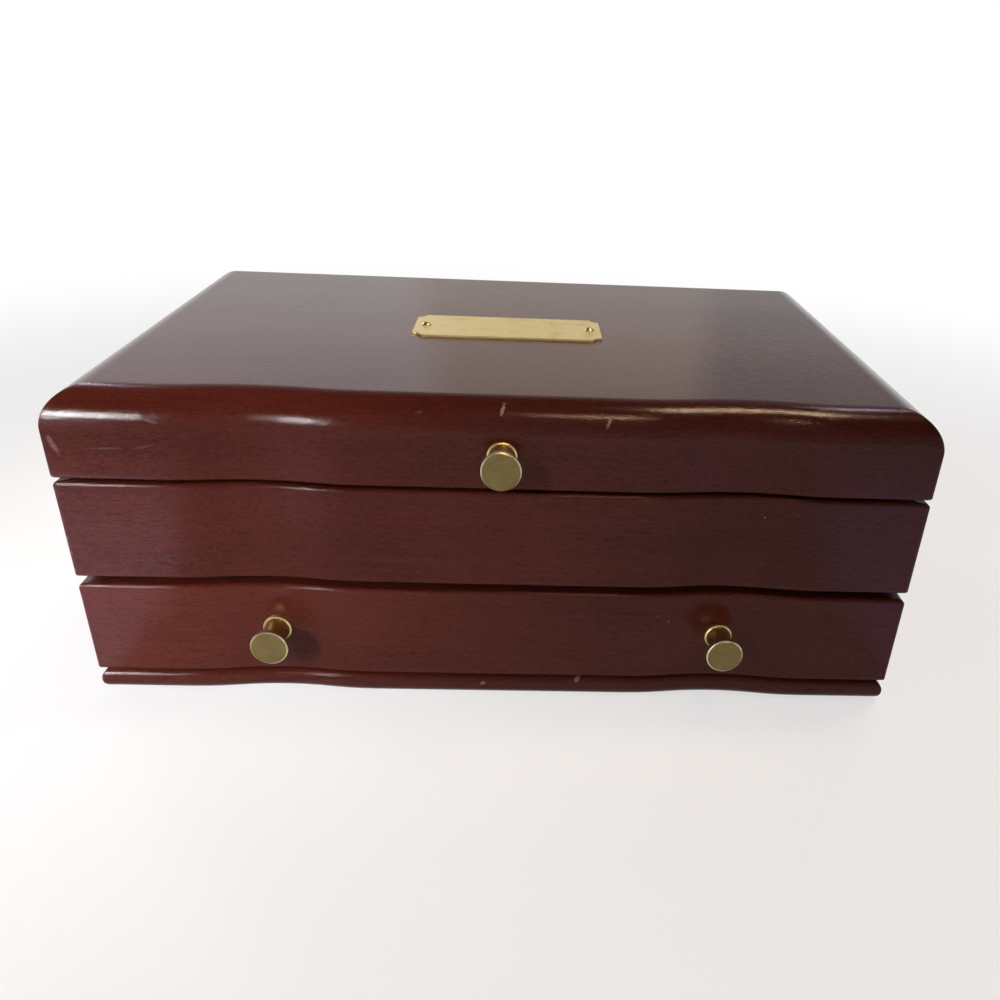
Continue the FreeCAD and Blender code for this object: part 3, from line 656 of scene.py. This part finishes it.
def tapeFinish(look):
    material, tree, shader = startMaterial("glideTape", specular=look["specular"])
    warp = maths(tree, "SINE", axes(tree, objectCoords(tree, scale=(look["threads"], 1, 1)))["X"])
    weft = maths(tree, "SINE", axes(tree, objectCoords(tree, scale=(1, look["threads"], 1)))["Y"])
    weave = times(tree, warp, weft)
    rubs = noise(tree, objectCoords(tree, scale=look["rubScale"]), *look["rubs"])
    colour = blendColour(tree, spread(tree, rubs, *look["rubRange"]), look["new"], look["rubbed"])
    colour = blendColour(tree, spread(tree, weave, *look["threadRange"]), colour, look["thread"])
    tree.links.new(colour, shader.inputs["Base Color"])
    tree.links.new(spread(tree, rubs, *look["roughness"]), shader.inputs["Roughness"])
    height = maths(tree, "MULTIPLY_ADD", rubs, look["rubRelief"], weave)
    addBump(tree, shader, height, look["bump"], roundedNormal(tree, look["edgeRadius"])[0])
    return material


wear(tapeFinish(tape), "drawer_glide_left", "drawer_glide_right")
print("inner wood, brass, felt and tape finished")


# camel velvet: short pile that is paler where it was brushed
velvet = {
    "pile": (0.400, 0.310, 0.220, 1),
    "brushed": (0.520, 0.425, 0.315, 1),
    "hollow": (0.235, 0.170, 0.112, 1),
    "shader": {"specular": 0.12, "sheen": 0.55, "sheenRoughness": 0.42, "sheenTint": (0.95, 0.86, 0.72, 1)},
    "strokeScale": (26, 48, 34),
    "strokeTurn": (0, 0, 0.5),
    "strokes": (1.0, 3.0, 0.55, 0.8),     # each pattern: scale, detail, roughness, distortion
    "nap": (2600.0, 3.0, 0.7),
    "tufts": (620.0, 3.0, 0.6),
    "strokeRange": (0.40, 0.64, 0.0, 0.75),
    "napRange": (0.58, 0.36, 0.0, 0.55),
    "tuftRange": (0.62, 0.40, 0.0, 0.22),
    "roughness": (0.3, 0.7, 0.80, 0.97),
    "napRelief": 0.7, "tuftRelief": 0.5,
    # how far a seam line is darkened toward the hollow colour: painted shade in the seam's crease
    "seamRange": (0.0007, 0.0002),
    "seamPaintedShade": 0.7, "seamRelief": 1.5,
    "edgeRadius": 0.0008,
    "bump": (0.55, 0.0004),
}


def velvetCloth(name, shift, seams=None):
    # with seams the cloth is sewn at these places along X, and its edges are already round
    look = velvet
    material, tree, shader = startMaterial(name, **look["shader"])
    place = objectCoords(tree, move=shift)
    brushed = objectCoords(tree, scale=look["strokeScale"], turn=look["strokeTurn"], move=shift)
    strokes = noise(tree, brushed, *look["strokes"])
    nap = noise(tree, place, *look["nap"])
    tufts = noise(tree, place, *look["tufts"])
    colour = blendColour(tree, spread(tree, strokes, *look["strokeRange"]), look["pile"], look["brushed"])
    colour = blendColour(tree, spread(tree, nap, *look["napRange"]), colour, look["hollow"])
    colour = blendColour(tree, spread(tree, tufts, *look["tuftRange"]), colour, look["hollow"])
    height = weighted(tree, (tufts, look["tuftRelief"]), (nap, look["napRelief"]))
    for level in seams or ():
        # each seam line is painted darker toward the hollow colour, a painted shade in its crease, and is
        # sunk by the relief
        line = maths(tree, "SUBTRACT", axes(tree, objectCoords(tree))["X"], level)
        line = spread(tree, maths(tree, "ABSOLUTE", line), *look["seamRange"])
        colour = blendColour(tree, times(tree, line, look["seamPaintedShade"]), colour, look["hollow"])
        height = maths(tree, "SUBTRACT", height, times(tree, line, look["seamRelief"]))
    tree.links.new(colour, shader.inputs["Base Color"])
    tree.links.new(spread(tree, nap, *look["roughness"]), shader.inputs["Roughness"])
    smooth = None if seams else roundedNormal(tree, look["edgeRadius"])[0]
    addBump(tree, shader, height, look["bump"], smooth)
    return material


trayVelvet = velvetCloth("velvetTray", (0.13, 0.29, 0.07))
drawerVelvet = velvetCloth("velvetDrawer", (0.41, 0.09, 0.33))
lidVelvet = velvetCloth("velvetLid", (0.77, 0.35, 0.11))
wear(trayVelvet, "tray_liner")
wear(drawerVelvet, "drawer_liner")
wear(lidVelvet, "lid_liner")
print("velvet ready")


def pickOnly(*pieces):
    bpy.ops.object.select_all(action="DESELECT")
    for piece in pieces:
        piece.select_set(True)
    bpy.context.view_layer.objects.active = pieces[-1]


def applyAll(piece):
    pickOnly(piece)
    for modifier in list(piece.modifiers):
        bpy.ops.object.modifier_apply(modifier=modifier.name)


def subdivideOnce(piece):
    finish = piece.modifiers.new("soft", "SUBSURF")
    finish.levels = finish.render_levels = 1
    applyAll(piece)


def startBlock(name, low, high):
    # a block between two corners, with its place in its mesh
    bpy.ops.object.select_all(action="DESELECT")
    bpy.ops.mesh.primitive_cube_add(size=1, location=(low + high) / 2)
    piece = bpy.context.object
    piece.name = piece.data.name = name
    piece.scale = high - low
    bpy.ops.object.transform_apply(location=True, rotation=True, scale=True)
    return piece


def dress(piece, material, body, node):
    # the finished piece gets its cloth, rides on its body and stands for its node
    piece.data.materials.clear()
    piece.data.materials.append(material)
    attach(piece, body)
    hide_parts(node)


def selectEdges(mesh, wanted):
    # picks the edges whose two ends pass the test, from object mode
    for edge in mesh.edges:
        a, b = (mesh.vertices[i].co for i in edge.vertices)
        edge.select = wanted(a, b)


nearEnough = 0.0001   # two places this near each other are the same


# velvet-covered boards: the CAD boards with their long upper edges rounded over
boards = {
    "tray": ["tray_spine", "tray_tie_divider", "tray_row_divider_1", "tray_row_divider_2",
             "tray_column_divider_1", "tray_column_divider_2", "tray_column_divider_3"],
    "drawer": ["drawer_divider_1", "drawer_divider_2"],
    "merge": 0.00002,
    "flatAngle": math.radians(1),
    "smoothAngle": math.radians(40),
    "round": 0.00075,
    "roundSteps": 3,
}


def velvetBoard(node, body, material):
    piece = bpy.data.objects.new("velvet_" + node, parts[node].data.copy())
    bpy.context.scene.collection.objects.link(piece)
    pickOnly(piece)
    bpy.ops.object.mode_set(mode="EDIT")
    bpy.ops.mesh.select_all(action="SELECT")
    bpy.ops.mesh.remove_doubles(threshold=boards["merge"])
    bpy.ops.mesh.dissolve_limited(angle_limit=boards["flatAngle"])
    bpy.ops.mesh.select_all(action="DESELECT")
    bpy.ops.object.mode_set(mode="OBJECT")
    low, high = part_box(node)
    across = 0 if high.x - low.x < high.y - low.y else 1

    def longUpper(a, b):
        return min(a.z, b.z) > high.z - nearEnough and abs(a[across] - b[across]) < nearEnough

    selectEdges(piece.data, longUpper)
    bpy.ops.object.mode_set(mode="EDIT")
    bpy.ops.mesh.select_mode(type="EDGE")
    bpy.ops.mesh.bevel(offset=boards["round"], segments=boards["roundSteps"], clamp_overlap=True)
    bpy.ops.mesh.select_mode(type="VERT")
    bpy.ops.object.mode_set(mode="OBJECT")
    bpy.ops.object.shade_smooth_by_angle(angle=boards["smoothAngle"])
    dress(piece, material, body, node)


for node in boards["tray"]:
    velvetBoard(node, "case", trayVelvet)
for node in boards["drawer"]:
    velvetBoard(node, "drawer", drawerVelvet)
print("velvet boards rounded")


# cloth over foam: how it swells
foam = {"pressure": 4.0, "steps": 20, "mass": 0.3, "quality": 5}


def inflate(piece, cap, pinned=None):
    # cloth under pressure with gravity off, then no point further from its start than the cap
    start = [v.co.copy() for v in piece.data.vertices]
    pickOnly(piece)
    cloth = piece.modifiers.new("swell", "CLOTH")
    cloth.settings.use_pressure = True
    cloth.settings.uniform_pressure_force = foam["pressure"]
    cloth.settings.mass = foam["mass"]
    cloth.settings.quality = foam["quality"]
    cloth.settings.effector_weights.gravity = 0
    if pinned:
        cloth.settings.vertex_group_mass = pinned
    cloth.point_cache.frame_start, cloth.point_cache.frame_end = 1, foam["steps"]
    for step in range(1, foam["steps"] + 1):
        bpy.context.scene.frame_set(step)
    bpy.ops.object.modifier_apply(modifier=cloth.name)
    bpy.context.scene.frame_set(1)
    for vertex, home in zip(piece.data.vertices, start):
        push = vertex.co - home
        if push.length > cap:
            vertex.co = home + push * (cap / push.length)


# one foam roll is made and copied into the six places
rolls = {
    "nodes": ["cufflink_roll_%d" % n for n in range(1, 7)],
    "inset": Vector((0.0007, 0.0009, 0.0006)),   # what the block leaves for the swelling
    "footInset": 0.0002,
    "longEdge": 0.01,        # an edge along X is longer than this
    "shoulder": 0.0068,
    "shoulderSteps": 6,
    "foot": 0.001,           # end edges below this height stay sharp
    "cornerSoft": 0.0022,
    "cornerSteps": 3,
    "voxel": 0.0021,
    "swell": 0.0009,
    "clear": Vector((0.0001, 0.0001, 0.0001)),   # kept free inside the roll's place
    "clearFoot": 0.00005,
    "seamInset": 0.0026,
    "fill": 0.8,
}


def makeRoll(look):
    low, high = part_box(look["nodes"][0])
    inset = look["inset"]
    roll = startBlock("roll_master", low + Vector((inset.x, inset.y, look["footInset"])), high - inset)
    mesh = roll.data
    bpy.ops.object.mode_set(mode="EDIT")
    bpy.ops.mesh.select_mode(type="EDGE")
    bpy.ops.mesh.select_all(action="DESELECT")
    bpy.ops.object.mode_set(mode="OBJECT")
    middle = (low.z + high.z) / 2
    selectEdges(mesh, lambda a, b: min(a.z, b.z) > middle and abs(a.x - b.x) > look["longEdge"])
    bpy.ops.object.mode_set(mode="EDIT")
    bpy.ops.mesh.bevel(offset=look["shoulder"], segments=look["shoulderSteps"])
    bpy.ops.mesh.select_all(action="DESELECT")
    bpy.ops.object.mode_set(mode="OBJECT")
    ends = (low.x + inset.x, high.x - inset.x)

    def roundEnd(a, b):
        atEnd = any(abs(a.x - end) < nearEnough and abs(b.x - end) < nearEnough for end in ends)
        return atEnd and max(a.z, b.z) > low.z + look["foot"]

    selectEdges(mesh, roundEnd)
    bpy.ops.object.mode_set(mode="EDIT")
    bpy.ops.mesh.bevel(offset=look["cornerSoft"], segments=look["cornerSteps"])
    bpy.ops.mesh.select_mode(type="VERT")
    bpy.ops.object.mode_set(mode="OBJECT")
    remesh = roll.modifiers.new("cells", "REMESH")
    remesh.mode = "VOXEL"
    remesh.voxel_size = look["voxel"]
    applyAll(roll)
    inflate(roll, look["swell"])
    subdivideOnce(roll)
    # the foot stays flat on the pad and the roll stays in its place
    lowest, highest = low + look["clear"], high - look["clear"]
    lowest.z = low.z + look["clearFoot"]
    for vertex in mesh.vertices:
        for axis in range(3):
            vertex.co[axis] = min(max(vertex.co[axis], lowest[axis]), highest[axis])
    bpy.ops.object.shade_smooth()
    return roll


roll = makeRoll(rolls)
firstLow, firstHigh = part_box(rolls["nodes"][0])
rollSeams = (firstLow.x + rolls["seamInset"], firstHigh.x - rolls["seamInset"])
rollVelvet = velvetCloth("velvetRolls", (0.05, 0.52, 0.27), rollSeams)
for number, node in enumerate(rolls["nodes"], 1):
    low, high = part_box(node)
    piece = bpy.data.objects.new("soft_roll_%d" % number, roll.data.copy())
    bpy.context.scene.collection.objects.link(piece)
    piece.data.transform(Matrix.Translation(low - firstLow))
    dress(piece, rollVelvet, "case", node)
bpy.data.objects.remove(roll, do_unlink=True)
print("six rolls padded")


# thin foam pads: glued to one side, held down along their edges and under the dividers, crowned between
pads = {
    "tray": {"node": "tray_floor_pad", "body": "case", "cell": 0.0042, "start": 0.0017, "cap": 0.0003,
             "gluedTo": "floor", "hold": boards["tray"] + rolls["nodes"]},
    "drawer": {"node": "drawer_floor_pad", "body": "drawer", "cell": 0.0042, "start": 0.0017, "cap": 0.0003,
               "gluedTo": "floor", "hold": boards["drawer"]},
    "lid": {"node": "lid_pad", "body": "lid", "cell": 0.0050, "start": 0.0037, "cap": 0.0008,
            "gluedTo": "lid", "hold": []},
}
padMake = {
    "margin": 0.0003,        # kept free round the pad's sides
    "rimShare": 0.5,         # this much of a cell is held down along the rim
    "holdReach": 0.002,      # and this far round a divider's foot
    "smoothAngle": math.radians(60),
    "fill": 0.7,
}


def cutEven(piece, low, high, cell):
    # even cells come from straight cuts through the block
    bpy.ops.object.mode_set(mode="EDIT")
    for axis in (0, 1):
        count = round((high[axis] - low[axis]) / cell)
        for cut in range(1, count):
            point = list((low + high) / 2)
            point[axis] = low[axis] + (high[axis] - low[axis]) * cut / count
            normal = [0, 0, 0]
            normal[axis] = 1
            bpy.ops.mesh.select_all(action="SELECT")
            bpy.ops.mesh.bisect(plane_co=point, plane_no=normal)
    bpy.ops.mesh.select_all(action="DESELECT")
    bpy.ops.object.mode_set(mode="OBJECT")


def makePad(name, look, material):
    low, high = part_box(look["node"])
    margin = Vector((padMake["margin"], padMake["margin"], 0))
    low, high = low + margin, high - margin
    if look["gluedTo"] == "floor":
        high.z = low.z + look["start"]
        glued = low.z
    else:
        low.z = high.z - look["start"]
        glued = high.z
    pad = startBlock("pad_" + name, low, high)
    cutEven(pad, low, high, look["cell"])
    reach = padMake["holdReach"]
    holdBoxes = [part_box(node) for node in look["hold"]]
    group = pad.vertex_groups.new(name="held")
    held = []
    for vertex in pad.data.vertices:
        x, y, z = vertex.co
        stuck = abs(z - glued) < look["start"] / 2
        rim = min(x - low.x, high.x - x, y - low.y, high.y - y) < look["cell"] * padMake["rimShare"]
        under = any(a.x - reach < x < b.x + reach and a.y - reach < y < b.y + reach for a, b in holdBoxes)
        if stuck or rim or under:
            held.append(vertex.index)
    group.add(held, 1.0, "REPLACE")
    inflate(pad, look["cap"], group.name)
    subdivideOnce(pad)
    bpy.ops.object.shade_smooth_by_angle(angle=padMake["smoothAngle"])
    dress(pad, material, look["body"], look["node"])


makePad("tray_floor", pads["tray"], trayVelvet)
makePad("drawer_floor", pads["drawer"], drawerVelvet)
makePad("lid_lining", pads["lid"], lidVelvet)
print("floor and lid pads padded")

bpy.ops.object.select_all(action="DESELECT")
